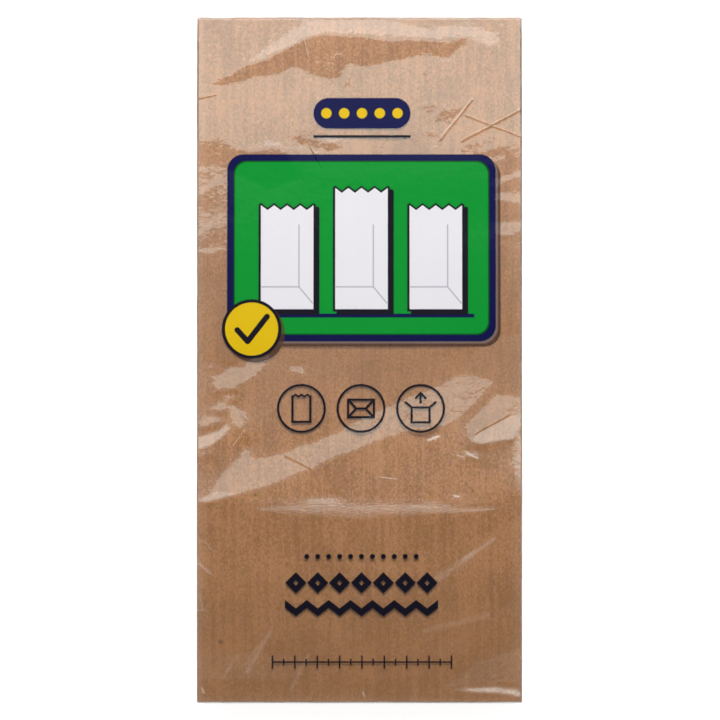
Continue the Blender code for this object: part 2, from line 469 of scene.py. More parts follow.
# Where the film mirrors the lamp, or misses it, as outlines in pixels:
# (degrees past the lamp's near edge, or two for the outline's left and right ends,
# softness of the outline in mm, outline)
glints = [
    # the miss across the top, and the brighter sweep over it
    (3.0, 2.5, [(197, 16), (523, 16), (523, 100), (470, 140), (410, 132), (300, 132), (240, 138),
     (197, 136)]),
    (8.5, 2.4, [(250, 61), (268, 47), (288, 33), (305, 20), (350, 18), (400, 22), (424, 30), (470, 25),
     (496, 33), (500, 46), (482, 43), (466, 36), (424, 37), (387, 36), (354, 32), (326, 31), (306, 37),
     (288, 46), (268, 57)]),
    (-2.6, 0.6, [(213, 85), (216, 80), (227, 77), (239, 70), (252, 64), (262, 61), (272, 56), (283, 51),
     (290, 47), (301, 42), (306, 38), (315, 35), (324, 34), (333, 34), (341, 37), (349, 36), (365, 38),
     (387, 41), (410, 40), (430, 41), (447, 42), (458, 40), (469, 39), (466, 44), (458, 50), (452, 56),
     (445, 58), (437, 55), (426, 54), (410, 57), (392, 61), (376, 65), (365, 66), (356, 66), (350, 63),
     (346, 65), (343, 71), (340, 79), (335, 82), (328, 80), (318, 77), (310, 74), (302, 69), (295, 67),
     (287, 69), (279, 74), (268, 76), (257, 77), (248, 79), (239, 83), (228, 84), (221, 86)]),
    (-1.5, 0.6, [(344, 87), (346, 81), (351, 75), (351, 82), (347, 88)]),
    # where the sweep over the top breaks up
    (-2.0, 1.0, [(197, 147), (207, 142), (219, 141), (229, 145), (234, 148), (252, 153), (261, 151),
     (273, 149), (283, 153), (289, 160), (298, 166), (300, 176), (268, 188), (246, 178), (227, 170),
     (222, 165), (212, 163), (197, 165)]),
    (-1.8, 0.8, [(295, 140), (301, 137), (313, 140), (324, 144), (341, 145), (335, 149), (329, 150),
     (318, 147), (307, 144), (300, 143)]),
    (-1.0, 0.9, [(424, 107), (431, 105), (438, 108), (435, 112), (428, 112)]),
    (-1.1, 1.0, [(438, 113), (446, 108), (455, 110), (463, 106), (462, 112), (452, 120), (440, 124),
     (432, 122)]),
    (-0.8, 0.9, [(425, 136), (433, 131), (437, 134), (430, 139)]),
    (1.8, 0.7, [(197, 186), (208, 184), (214, 176), (219, 172), (216, 180), (226, 181), (218, 186),
     (208, 191), (197, 196)]),
    (1.6, 0.6, [(222, 168), (240, 176), (262, 188), (268, 196), (250, 188), (232, 178)]),
    (2.0, 0.6, [(197, 233), (206, 224), (219, 216), (222, 219), (212, 228), (197, 238)]),
    (1.8, 0.5, [(200, 214), (212, 208), (204, 222), (197, 226), (205, 216)]),
    (2.4, 0.6, [(198, 251), (206, 247), (214, 246), (228, 246), (228, 249), (216, 252), (204, 254)]),
    # streaks to the right of the panel
    (-2.2, 1.0, [(486, 151), (497, 148), (507, 146), (506, 154), (496, 158), (487, 158)]),
    (-2.2, 1.0, [(494, 162), (510, 160), (523, 159), (523, 170), (512, 172), (500, 178), (494, 176)]),
    (2.6, 0.8, [(492, 182), (500, 178), (510, 173), (523, 170), (523, 176), (510, 179), (499, 186),
     (492, 186)]),
    (-2.2, 0.9, [(495, 190), (502, 184), (510, 180), (523, 178), (523, 190), (507, 191), (497, 193)]),
    (3.0, 0.7, [(494, 195), (501, 192), (523, 193), (523, 203), (511, 203), (498, 200)]),
    (-2.4, 0.9, [(494, 203), (505, 202), (523, 205), (523, 221), (508, 221), (494, 222)]),
    (3.2, 0.7, [(493, 225), (504, 222), (523, 223), (523, 229), (511, 233), (500, 234), (494, 230)]),
    # the long diagonal sweep, and the patches around it
    ((3.2, 1.2), 0.45, [(197, 500), (202, 497), (210, 494), (213, 489), (216, 481), (224, 470),
     (236, 458), (245, 447), (249, 447), (250, 455), (254, 459), (265, 457), (277, 454), (285, 453),
     (300, 445), (316, 441), (328, 435), (339, 430), (347, 425), (356, 420), (368, 415), (391, 405),
     (409, 397), (425, 391), (440, 385), (448, 380), (460, 374), (471, 368), (479, 366), (489, 362),
     (500, 357), (510, 354), (510, 357), (508, 364), (505, 367), (502, 373), (493, 383), (483, 395),
     (475, 404), (467, 412), (461, 417), (455, 420), (446, 426), (437, 428), (425, 430), (416, 430),
     (397, 435), (379, 441), (365, 447), (351, 453), (333, 459), (318, 466), (312, 470), (308, 470),
     (300, 472), (282, 481), (264, 487), (240, 494), (228, 497), (213, 501), (203, 503)]),
    (7.5, 0.45, [(197, 500), (202, 497), (210, 494), (213, 490), (228, 492), (245, 488), (236, 494),
     (220, 499), (206, 502)]),
    (2.6, 0.45, [(520, 347), (517, 360), (513, 371), (509, 378), (502, 388), (492, 397), (481, 409),
     (469, 420), (465, 425), (467, 430), (469, 435), (471, 441), (477, 444), (483, 444), (492, 442),
     (503, 440), (512, 440), (515, 438), (519, 433), (523, 420), (523, 347)]),
    (9.5, 0.45, [(475, 436), (481, 430), (490, 425), (498, 420), (510, 415), (523, 413), (522, 421),
     (516, 436), (511, 440), (503, 440), (483, 444), (477, 444), (472, 440)]),
    (3.4, 0.45, [(518, 432), (514, 441), (512, 450), (512, 460), (514, 470), (516, 478), (519, 487),
     (521, 496), (524, 498), (524, 432)]),
    (3.0, 0.4, [(213, 374), (218, 376), (223, 373), (227, 368), (236, 366), (243, 368), (247, 362),
     (254, 356), (259, 358), (270, 354), (271, 358), (263, 367), (254, 377), (250, 380), (238, 386),
     (235, 389), (224, 390), (218, 390), (216, 384), (215, 379)]),
    (3.6, 0.4, [(289, 370), (292, 366), (301, 366), (305, 371), (303, 374), (297, 373), (291, 372)]),
    (3.0, 0.35, [(207, 366), (211, 363), (214, 365), (212, 368), (208, 368)]),
    (2.6, 0.4, [(223, 396), (228, 394), (233, 395), (235, 399), (230, 399), (229, 403), (224, 401)]),
    (3.2, 0.4, [(206, 410), (215, 404), (221, 400), (228, 405), (227, 410), (219, 411), (211, 411)]),
    (4.4, 0.4, [(229, 405), (234, 405), (241, 410), (243, 415), (243, 427), (239, 429), (234, 425),
     (231, 419), (229, 413)]),
    (2.0, 0.5, [(199, 414), (213, 414), (223, 418), (230, 421), (230, 424), (227, 422), (219, 422),
     (211, 426), (201, 427), (198, 423)]),
    (9.0, 0.4, [(197, 438), (207, 434), (219, 430), (227, 423), (229, 427), (226, 434), (220, 439),
     (212, 445), (205, 449), (197, 449)]),
    (4.0, 0.35, [(199, 456), (199, 453), (205, 451), (211, 449), (211, 452), (205, 455)]),
    (4.0, 0.35, [(427, 441), (432, 436), (440, 435), (439, 438), (432, 442)]),
    (3.4, 0.35, [(463, 453), (468, 451), (472, 455), (470, 457), (465, 456)]),
    (3.4, 0.35, [(472, 451), (476, 450), (480, 456), (479, 459), (474, 455)]),
    (4.0, 0.35, [(453, 497), (456, 494), (461, 497), (455, 498)]),
    (6.5, 0.4, [(453, 690), (462, 688), (475, 687), (490, 686), (505, 685), (517, 686), (520, 691),
     (522, 697), (516, 697), (505, 694), (491, 693), (475, 693), (464, 691)]),
    # crinkles where it crosses the edge of the folded bases
    (0.2, 0.3, [(253, 508.5), (277, 506.5), (305, 504), (329, 500), (342, 504), (363, 503.5), (385, 504),
     (407, 505), (439, 504), (461, 508), (494, 507), (496, 509.5), (470, 512), (428, 514), (407, 515),
     (379, 515), (372, 518), (342, 517), (324, 515), (311, 515), (294, 512), (272, 510.5)]),
    (0.5, 0.4, [(303, 500), (316, 497), (333, 497), (345, 501), (332, 502), (314, 503)]),
    (0.9, 0.3, [(405, 505), (430, 503), (447, 504), (446, 507), (420, 507)]),
]


def frontRelief(x, y):
    # height of the film over its rest height, settled so that it leans as the outlines ask
    lean = 0.8 * ripple(x, y, 60 * mm, 40 * mm, 3) + 0.35 * ripple(x, y, 12 * mm, 8 * mm, 4)
    cover = np.zeros(x.shape)
    rest = np.degrees(np.arctan(y / view["distance"]) - 2 * np.arctan(restSlope(y)))
    edge = np.degrees(np.arctan((glareLamp["edge"] - y) / glareLamp["height"]))
    texture = 0.25 * ripple(x, y, 9 * mm, 7 * mm, 5)
    for past, soft, outline in glints:
        outline = fromPixels(outline)
        inside = smoothstep(-soft * mm, soft * mm, outlineDistance(x, y, outline))
        past = np.interp(x, (outline[:, 0].min(), outline[:, 0].max()), np.broadcast_to(past, 2))
        lean = lean + inside * ((edge + past - rest) / 2 + texture - lean)
        cover = np.maximum(cover, inside)
    firmness = film["slack"] + (film["hold"] - film["slack"]) * cover
    relief = settled(np.tan(np.radians(lean)), firmness, x[0, 1] - x[0, 0], np.diff(y[:, :1], axis=0))
    return np.maximum(relief, film["lowest"])


def settled(fall, firmness, stepX, stepY):
    # heights z, nought in the first and last rows, that make the least of the sum of
    # firmness (dz/dy + fall)^2 + across (dz/dx)^2 + pull (z - puff)^2, by conjugate gradients
    firmness = (firmness[1:] + firmness[:-1]) / 2
    fall = (fall[1:] + fall[:-1]) / 2
    pull = film["slack"] / film["settle"] ** 2

    def gathered(alongY, alongX, total):
        total[:-1] -= alongY / stepY
        total[1:] += alongY / stepY
        total[:, :-1] -= alongX / stepX
        total[:, 1:] += alongX / stepX
        total[[0, -1]] = 0
        return total

    z = np.zeros((len(fall) + 1, fall.shape[1]))
    left = gathered(-firmness * fall, np.zeros((len(z), z.shape[1] - 1)), z + pull * film["puff"])
    way = left.copy()
    size = np.sum(left * left)
    for _ in range(film["rounds"]):
        bent = gathered(firmness * np.diff(way, axis=0) / stepY,
                        film["across"] * np.diff(way, axis=1) / stepX, pull * way)
        share = size / np.sum(way * bent)
        z += share * way
        left -= share * bent
        size, before = np.sum(left * left), size
        way = left + way * size / before
    return z


def restSlope(y):
    # rise of the film over the stack for each metre towards the mouths
    low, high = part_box(bagNames[-1])
    flap = low[1] + stack["flapLength"]
    return np.where(y > flap, (low[2] + bodyHeight - high[2]) / (high[1] - flap), 0.0)


def restHeight(y):
    # outside of the film over the stack: level over the folded bases, then down to the mouths
    low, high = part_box(bagNames[-1])
    return high[2] + film["clearance"] + restSlope(y) * (y - low[1] - stack["flapLength"])


# Broad milky areas, three of them painted highlights over bright patches where the film mirrors the lamp:
# (share of light scattered, softness in mm, outline in pixels)
milkyAndGlare = [
    # a painted highlight along the strip where the film crosses the edge of the folded bases
    (0.02, 0.8, [(225, 505), (258, 500), (330, 493), (400, 499), (522, 505), (491, 511), (448, 515),
                 (370, 518), (317, 516), (253, 509)]),
    (0.05, 1.2, [(440, 690), (480, 660), (520, 650), (522, 682), (480, 684)]),
    (0.025, 1.0, [(197, 653), (300, 655), (300, 680), (197, 680)]),
    (0.03, 0.8, [(197, 540), (203, 545), (203, 610), (197, 620)]),
    # a painted highlight over the bright wedge at the fold end
    (0.12, 0.3, [(462, 690), (490, 688), (518, 687), (521, 697), (505, 694), (480, 692)]),
    # a painted highlight over the bright strip at the right edge
    (0.10, 0.5, [(513, 441), (522, 432), (522, 498), (516, 479), (512, 458)]),
]


def frontHazeAndGlare(x, y):
    # share of milky film, above the little that is everywhere, with painted highlights where some
    # outlines stand for the film mirroring the lamp
    haze = film["edgeHaze"] * np.exp((np.abs(x) - filmHigh[0]) / (1.6 * mm))
    haze += film["foldHaze"] * np.exp(-(y - film["foldWall"]) / (1.5 * mm))
    for share, soft, outline in milkyAndGlare:
        inside = smoothstep(-soft * mm, soft * mm, outlineDistance(x, y, fromPixels(outline)))
        haze += share * inside * (0.8 + 0.5 * ripple(x, y, 4 * mm, 2 * mm, 41))
    return haze


def addFilm(finishes):
    # a rounded section carried along y, its last rows turning in over the end walls,
    # then rings that step in by equal distances, so that they meet along 45 degree folds
    radius, half = film["radius"], filmHigh[0]
    flat = half - radius
    columns = int(round(2 * flat / film["frontStep"]))
    top = np.linspace(-flat, flat, columns + 1)
    groove, seam = film["seamGroove"], film["seamX"]
    back = np.linspace(flat, -flat, int(round(2 * flat / film["backStep"])) + 1)
    notch = seam + np.array([0.08 * mm, 0, -groove, -groove - 0.08 * mm])
    back = np.sort(np.concatenate([back[(back > seam + 1 * mm) | (back < seam - 1 * mm)], notch]))[::-1]
    arc = np.arange(1, film["arcSteps"]) / film["arcSteps"] * np.pi / 2
    rise = np.linspace(1, 0, film["sideSteps"] + 1)
    full, none = np.ones_like, np.zeros_like
    # each column: x and height share of its core point, then the outward direction
    core = np.concatenate([
        np.stack([top, full(top), none(top), full(top)], 1),
        np.stack([full(arc) * flat, full(arc), np.sin(arc), np.cos(arc)], 1),
        np.stack([full(rise) * flat, rise, full(rise), none(rise)], 1),
        np.stack([full(arc) * flat, none(arc), np.cos(arc), -np.sin(arc)], 1),
        np.stack([back, none(back), none(back), -full(back)], 1),
        np.stack([-full(arc) * flat, none(arc), -np.sin(arc), -np.cos(arc)], 1),
        np.stack([-full(rise) * flat, rise[::-1], -full(rise), none(rise)], 1),
        np.stack([-full(arc) * flat, full(arc), -np.cos(arc), np.sin(arc)], 1),
    ])
    coreX, share, outX, outZ = core.T

    first, last = film["foldWall"] + radius, film["mouthWall"] - radius
    straight = np.linspace(first, last, int(round((last - first) / film["rowStep"])) + 1)
    turn = np.arange(1, film["arcSteps"] + 1) / film["arcSteps"] * np.pi / 2
    y = np.concatenate([first - radius * np.sin(turn[::-1]), straight, last + radius * np.sin(turn)])
    tuck = radius * (1 - np.cos(turn))
    inset = np.concatenate([tuck[::-1], none(straight), tuck])
    yGrid = np.broadcast_to(y[:, None], (len(y), len(coreX)))
    xGrid = np.broadcast_to(coreX, yGrid.shape)
    relief = frontRelief(xGrid[:, :len(top)], yGrid[:, :len(top)])
    nearest = np.clip(np.round((coreX + flat) / (top[1] - top[0])).astype(int), 0, columns)
    relief = relief[:, nearest]
    height = restHeight(yGrid) + relief
    push = radius - inset[:, None]
    z = radius + share * (height - 2 * radius) + outZ * push
    around = yGrid + np.sign(xGrid) * 300 * mm
    side = ripple(around, z, 34 * mm, 22 * mm, 21) + 0.5 * ripple(around, z, 11 * mm, 26 * mm, 22)
    side += 1.2 * (0.5 - np.abs(ripple(around, z, 26 * mm, 18 * mm, 23)))
    calm = smoothstep(0, 6 * mm, yGrid - y[0]) * smoothstep(0, 6 * mm, y[-1] - yGrid)
    calm = calm * np.sin(np.pi * np.clip(z / height, 0, 1))
    spread = film["mouthSpread"] * smoothstep(-60 * mm, 120 * mm, yGrid)
    x = xGrid + outX * (push + film["sideWave"] * side * calm + spread)
    inNotch = (share == 0) & (outZ < -0.99) & (np.abs(coreX - seam + groove / 2) < groove / 2 + 0.01 * mm)
    z = np.where(inNotch & (inset[:, None] == 0), z + film["seamDepth"], z)

    front = (share == 1) & (outZ > 0.99)
    grid = [np.stack([x, yGrid, z, np.where(front, frontHazeAndGlare(xGrid, yGrid), 0.0)], -1)]
    for end, way in ((0, -1), (-1, 1)):
        edgeHeight = height[end]
        deepest = (edgeHeight.min() - 2 * radius) / 2 - film["ringStep"]
        for ring in np.arange(1, int(deepest / film["ringStep"]) + 1) * film["ringStep"]:
            ringX = np.clip(x[end], -flat + ring, flat - ring)
            ringZ = np.clip(z[end], radius + ring, edgeHeight - radius - ring)
            out, haze = endFlaps(ringX, ringZ, edgeHeight, half)
            points = np.stack([ringX, y[end] + way * out, ringZ, haze], -1)[None]
            grid = [points, *grid] if end == 0 else [*grid, points]
    points = np.concatenate(grid)

    rows, count = points.shape[:2]
    number = np.arange(rows * count).reshape(rows, count)
    after = np.roll(number, -1, axis=1)
    quads = np.stack([number[:-1], after[:-1], after[1:], number[1:]], -1).reshape(-1, 4).tolist()
    faces = quads + [number[0].tolist(), number[-1].tolist()]
    flatPoints = points.reshape(-1, 4)
    piece = addPiece("clear_film_wrap", flatPoints[:, :3], faces, finishes, "film_wrap",
                     haze=flatPoints[:, 3].astype(np.float32))
    triangles = sum(len(face.vertices) - 2 for face in piece.data.polygons)
    print("film:", triangles, "triangles, relief", relief.min() / mm, "to", relief.max() / mm, "mm")


def endFlaps(x, z, height, half):
    # how far the folded flaps stand off an end wall, two trapezoids with 45 degree sides,
    # and how milky the layers are
    fromTop, fromFloor, fromSide = height - z, z, half - np.abs(x)
    reach = film["endReach"] * height
    soft = 0.5 * mm
    upperEdge = np.minimum(reach - fromTop, fromSide - fromTop)
    lowerEdge = np.minimum(reach - fromFloor, fromSide - fromFloor)
    upper, lower = smoothstep(-soft, soft, upperEdge), smoothstep(-soft, soft, lowerEdge)
    puff = 0.2 * mm * (1 + ripple(x, z, 30 * mm, 14 * mm, 31))
    puff = puff * smoothstep(0, 6 * mm, np.minimum(fromTop, fromFloor))
    crisp = np.exp(-(upperEdge / (0.7 * mm)) ** 2) + np.exp(-(lowerEdge / (0.7 * mm)) ** 2)
    out = np.maximum(film["upperFlap"] * upper, film["lowerFlap"] * lower) + puff
    return out, 0.05 * upper + 0.09 * lower + 0.16 * np.clip(crisp, 0, 1)


# What is printed on the film, in millimetres over the pack's front, +Y towards the mouths
ink = dict(
    night=srgb(10, 7, 22),
    navy=srgb(2, 6, 66),
    green=srgb(0, 140, 45),
    greenEdge=srgb(0, 70, 19),
    yellow=srgb(219, 181, 14),
    white=srgb(228, 224, 229),
    grey=srgb(172, 170, 180),
    shadow=srgb(74, 44, 30),
    halo=srgb(176, 158, 152),
    soft=0.3,                  # width of an ink's edge
    roughness=0.5,
    specular=0.1,
)


class Print:
    # inks laid one over another: a colour and how much of the film they cover
    def __init__(self, finish):
        self.finish = finish
        self.colour = ink["shadow"]
        self.cover = 0.0

    def lay(self, shape, colour, strength=1.0):
        # shape is a distance in mm, negative inside; colour is an ink's name
        mask = self.finish.ramp(shape, ink["soft"] / 2, -ink["soft"] / 2)
        if strength != 1.0:
            mask = mask * strength
        self.colour = self.finish.blend(mask, self.colour, ink[colour])
        self.cover = mask if isinstance(self.cover, float) else self.cover.most(mask)


def slab(point, centre, half, radius=0.0):
    # distance to a rectangle with square or rounded corners
    beyond = point.vector("SUBTRACT", (*centre, 0.0)).vector("ABSOLUTE")
    beyond = beyond.vector("SUBTRACT", (half[0] - radius, half[1] - radius, 0.0))
    if radius:
        return beyond.vector("MAXIMUM", (0.0, 0.0, 0.0)).vector("LENGTH") - radius
    acrossX, acrossY, _ = point.finish.axes(beyond)
    return acrossX.most(acrossY)


def disc(point, centre, radius):
    # distance to a round spot
    return point.vector("DISTANCE", (*centre, 0.0)) - radius


def stroke(point, start, end, width):
    # distance to a straight stroke with round ends
    (ax, ay), (bx, by) = start, end
    centre, turn = ((ax + bx) / 2, (ay + by) / 2, 0.0), math.atan2(by - ay, bx - ax)
    settings = {"vector_type": "TEXTURE"}
    local = point.finish.node("ShaderNodeMapping", settings, [point, centre, (0.0, 0.0, turn)])
    beyond = local.vector("ABSOLUTE").vector("SUBTRACT", (math.hypot(bx - ax, by - ay) / 2, 0.0, 0.0))
    return beyond.vector("MAXIMUM", (0.0, 0.0, 0.0)).vector("LENGTH") - width / 2


def drawn(point, start, end, width, kind="LINEAR"):
    # 1 along a line that is given in pixels, and 0 from width on at either side
    line = stroke(point, *fromPixels((start, end)) / mm, 0.0)
    return point.finish.ramp(line, width, 0.0, kind)


def repeated(x, centre, pitch, count):
    # x measured from the nearest of count places, pitch apart, around centre; and that place's number
    reach = (count - 1) / 2
    place = ((x - centre) / pitch + (0.0 if count % 2 else 0.5)).math("ROUND")
    if count % 2 == 0:
        place = place - 0.5
    place = place.most(-reach).least(reach)
    return x - centre - place * pitch, place


def bagShape(x, y, bottom, top, half, tooth):
    # a standing bag: two sides, a base and a toothed mouth
    teeth = (x / tooth).math("PINGPONG", 1.0) * (tooth * 0.75)
    return (abs(x) - half).most(bottom - y).most(y - top + teeth)


panel = dict(centre=(0.8, 45.3), half=(51.6, 35.2), corner=5.0, rim=2.6, edge=0.5, shadow=(1.9, -2.0))
bagRow = dict(pitch=30.0, half=10.6, bottom=20.5, top=62.5, taller=7.0, tooth=2.65, line=0.95)
badge = dict(centre=(-43.5, 12.5), radius=12.0, rim=1.3)
mark = dict(centre=(1.0, 99.8), half=(19.6, 6.2), dots=5, pitch=7.2, dot=2.1, line=(90.4, 0.5))
signs = dict(y=-19.5, x=0.6, pitch=24.0, radius=9.4, line=0.9)
# strokes of the second and the third sign, from the sign's middle
flatBase = [((-5.2, -3.5), (-1.9, 0.0)), ((-5.2, 3.5), (-1.9, 0.0)), ((5.2, -3.5), (1.9, 0.0)),
            ((5.2, 3.5), (1.9, 0.0)), ((-1.9, 0.0), (1.9, 0.0))]
openedBox = [((0.0, 2.4), (0.0, 6.2)), ((0.0, 6.2), (-1.9, 4.2)), ((0.0, 6.2), (1.9, 4.2)),
             ((-3.6, 0.4), (-6.0, 2.4)), ((3.6, 0.4), (6.0, 2.4))]
spots = dict(y=-79.0, x=0.8, count=11, pitch=4.4, radius=1.0)
chain = dict(y=-89.6, x=0.8, count=7, pitch=8.8, size=4.3, hole=1.1)
zigzag = dict(y=-99.8, x=0.8, half=30.8, pitch=4.4, height=3.4, width=2.3)
ruler = dict(y=-121.5, x=1.0, half=36.0, count=17, pitch=4.5, tick=1.3, longTick=2.6)


def printedInk(finish, x, y):
    inks = Print(finish)
    point = finish.at(x, y)
    centre, half = panel["centre"], panel["half"]
    rimmed = (half[0] + panel["rim"], half[1] + panel["rim"])
    for offset, colour, strength in ((1.0, "shadow", 0.72), (0.45, "halo", 0.35), (0.0, "navy", 1.0)):
        spot = [c + offset * d for c, d in zip(centre, panel["shadow"])]
        inks.lay(slab(point, spot, rimmed, panel["corner"] + 1.5), colour, strength)
    inks.lay(slab(point, centre, half, panel["corner"]), "greenEdge")
    inner = (half[0] - panel["edge"], half[1] - panel["edge"])
    inks.lay(slab(point, centre, inner, panel["corner"]), "green")
    inks.lay(slab(point, (centre[0], bagRow["bottom"] - 2.6), (half[0] - 6, 0.8), 0.8), "navy")

    # the row of standing bags, each with an outline and a hard shadow
    local, place = repeated(x, centre[0], bagRow["pitch"], 3)
    top = bagRow["top"] + (1 - abs(place)) * bagRow["taller"]
    bottom, wide, line = bagRow["bottom"], bagRow["half"], bagRow["line"]
    outline = bagShape(local, y, bottom, top, wide, bagRow["tooth"])
    shifted = bagShape(local - 1.5, y + 1.3, bottom, top, wide, bagRow["tooth"])
    inks.lay(outline.least(shifted) - line, "night")
    inks.lay(outline, "white")
    onBag = finish.at(local, y)
    for end in ((wide * 0.45, bottom + 34), (wide - 0.4, bottom + 2.5), (0.4 - wide, bottom + 9)):
        inks.lay(stroke(onBag, (wide * 0.45, bottom + 9), end, 0.5), "grey")

    # a round badge with a tick
    spot, size = badge["centre"], badge["radius"]
    inks.lay(disc(point, (spot[0] + 1.4, spot[1] - 1.5), size), "shadow", 0.75)
    inks.lay(disc(point, spot, size), "night")
    inks.lay(disc(point, spot, size - badge["rim"]), "yellow")
    knee = (spot[0] - 1.6, spot[1] - 5.0)
    tick = stroke(point, (spot[0] - 5.8, spot[1] - 0.4), knee, 2.3)
    tick = tick.least(stroke(point, knee, (spot[0] + 6.2, spot[1] + 5.0), 2.3))
    inks.lay(tick, "night")

    # a bar of dots over the panel
    inks.lay(slab(point, mark["centre"], mark["half"], mark["half"][1]), "navy")
    local, _ = repeated(x, mark["centre"][0], mark["pitch"], mark["dots"])
    inks.lay(disc(finish.at(local, y), (0.0, mark["centre"][1]), mark["dot"]), "yellow")
    lineY, lineHalf = mark["line"]
    inks.lay(slab(point, (mark["centre"][0], lineY), (mark["half"][0], lineHalf)), "night")

    # three signs: the bag stands, its base is flat, it opens
    local, _ = repeated(x, signs["x"], signs["pitch"], 3)
    down, size, line = y - signs["y"], signs["radius"], signs["line"]
    inks.lay(abs(disc(finish.at(local, down), (0.0, 0.0), size)) - line / 2, "night")
    body = abs(bagShape(local, down, -5.4, 5.6, 3.6, 1.2)) - line / 2
    inks.lay(body.most(x - (signs["x"] - signs["pitch"] + size)), "night")
    onSecond = finish.at(x - signs["x"], down)
    base = abs(slab(onSecond, (0.0, 0.0), (5.2, 3.5))) - line / 2
    for start, end in flatBase:
        base = base.least(stroke(onSecond, start, end, line))
    inks.lay(base, "night")
    onThird = finish.at(x - (signs["x"] + signs["pitch"]), down)
    opened = abs(slab(onThird, (0.0, -2.6), (3.6, 3.0))) - line / 2
    for start, end in openedBox:
        opened = opened.least(stroke(onThird, start, end, line))
    inks.lay(opened, "night")

    # a row of dots, a bold row of diamonds and a zigzag
    local, _ = repeated(x, spots["x"], spots["pitch"], spots["count"])
    inks.lay(disc(finish.at(local, y), (0.0, spots["y"]), spots["radius"]), "night")
    local, _ = repeated(x, chain["x"], chain["pitch"], chain["count"])
    slant = abs(local) + abs(y - chain["y"])
    inks.lay(((slant - chain["size"]) * 0.7071).most(chain["hole"] - slant), "night")
    teeth = ((x - zigzag["x"]) / zigzag["pitch"]).math("PINGPONG", 1.0) * zigzag["height"]
    wave = (abs(y - zigzag["y"] + zigzag["height"] / 2 - teeth) - zigzag["width"] * 0.7) * 0.78
    inks.lay(wave.most(abs(x - zigzag["x"]) - zigzag["half"]), "night")

    # a scale with ticks, every other one longer
    local, place = repeated(x, ruler["x"], ruler["pitch"], ruler["count"])
    longer = (place / 2).math("PINGPONG", 0.5) * 2
    reach = ruler["longTick"] - longer * (ruler["longTick"] - ruler["tick"])
    ticks = (abs(local) - 0.28).most(abs(y - ruler["y"]) - reach)
    line = slab(point, (ruler["x"], ruler["y"]), (ruler["half"], 0.3))
    inks.lay(ticks.least(line), "night")
    return inks


# Thin creases in the film: (start and end in pixels, width in mm, height in mm)
creases = [
    ((472, 100), (440, 140), 1.0, 0.09),
    ((521, 110), (462, 141), 0.9, 0.08),
    ((464, 115), (521, 137), 0.7, 0.06),
    ((198, 99), (216, 95), 0.5, 0.06),
    ((310, 147), (322, 167), 0.6, 0.08),
    ((304, 40), (308, 57), 0.5, 0.06),
    ((285, 456), (311, 469), 0.6, 0.09),
    ((475, 434), (510, 415), 0.6, 0.09),
    ((244, 431), (233, 446), 0.5, 0.08),
]

# White scuffs on the film, and painted sparkles where it mirrors the lamp: (start and end in pixels,
# width in mm, share of light scattered)
scuffsAndSparkles = [
    ((198, 541), (206, 542), 0.5, 0.10),
    ((206, 542), (212, 550), 0.5, 0.14),
    ((197, 561.5), (211, 574), 0.9, 0.16),
    ((199, 593), (203, 609), 0.6, 0.09),
    ((197, 610), (210, 610), 0.5, 0.08),
    ((437, 579), (472, 555), 2.6, 0.08),
    ((464, 559), (494, 539), 1.4, 0.13),
    ((424, 631), (487, 615), 1.9, 0.05),
    ((270, 632), (247, 672), 1.5, 0.08),
    ((262, 640), (246, 664), 1.0, 0.06),
    ((238, 656), (222, 678), 1.2, 0.06),
    ((308, 655), (291, 690), 1.4, 0.06),
    # painted sparkles: strokes of scattered light where the film mirrors the lamp
    ((381, 477), (396, 479), 0.5, 0.30),
    ((428, 440), (439, 436), 0.8, 0.45),
    ((457, 455), (463, 457), 0.7, 0.25),
    ((466, 452), (477, 458), 0.9, 0.40),
    ((454, 495.5), (459, 496.5), 0.8, 0.45),
    ((202, 688), (204, 693), 0.7, 0.30),
    ((363, 692), (364, 696), 0.6, 0.25),
    # lighter lines along the crinkled strip where the film crosses the edge of the folded bases
    ((312, 506), (345, 505), 0.6, 0.12),
    ((380, 505), (430, 506.5), 0.6, 0.12),
    ((452, 512), (492, 509), 0.5, 0.14),
    ((258, 509), (300, 515), 0.5, 0.10),
]

gloss = dict(
    straightOn=0.078,          # share of light that both faces send back, seen straight on
    lowerLoss=0.24,            # less of that from the middle of the pack down
    roughness=0.035,
    clear=(0.985, 0.985, 0.98, 1.0),
    passed=(0.90, 0.90, 0.895, 1.0),   # share of a lamp's light that goes through
    haze=0.01,                 # share of light scattered everywhere, by scuffs, and by the seam
    scuffed=0.025,
    sealHaze=0.16,
    # colour of the scattered light, of milky film and of the painted highlights and sparkles
    milk=(1.0, 0.83, 0.72, 1.0),
    unevenness=(0.06, 0.006),  # of the front, coarse and fine, in mm
    crinkle=0.13,
    backWaves=0.45,            # of the sides and the back, in mm, and of their folds
    backFolds=1.7,
    overInk=(0.004, 0.5),      # of the shine over the print: seen straight on, and at a glance
)


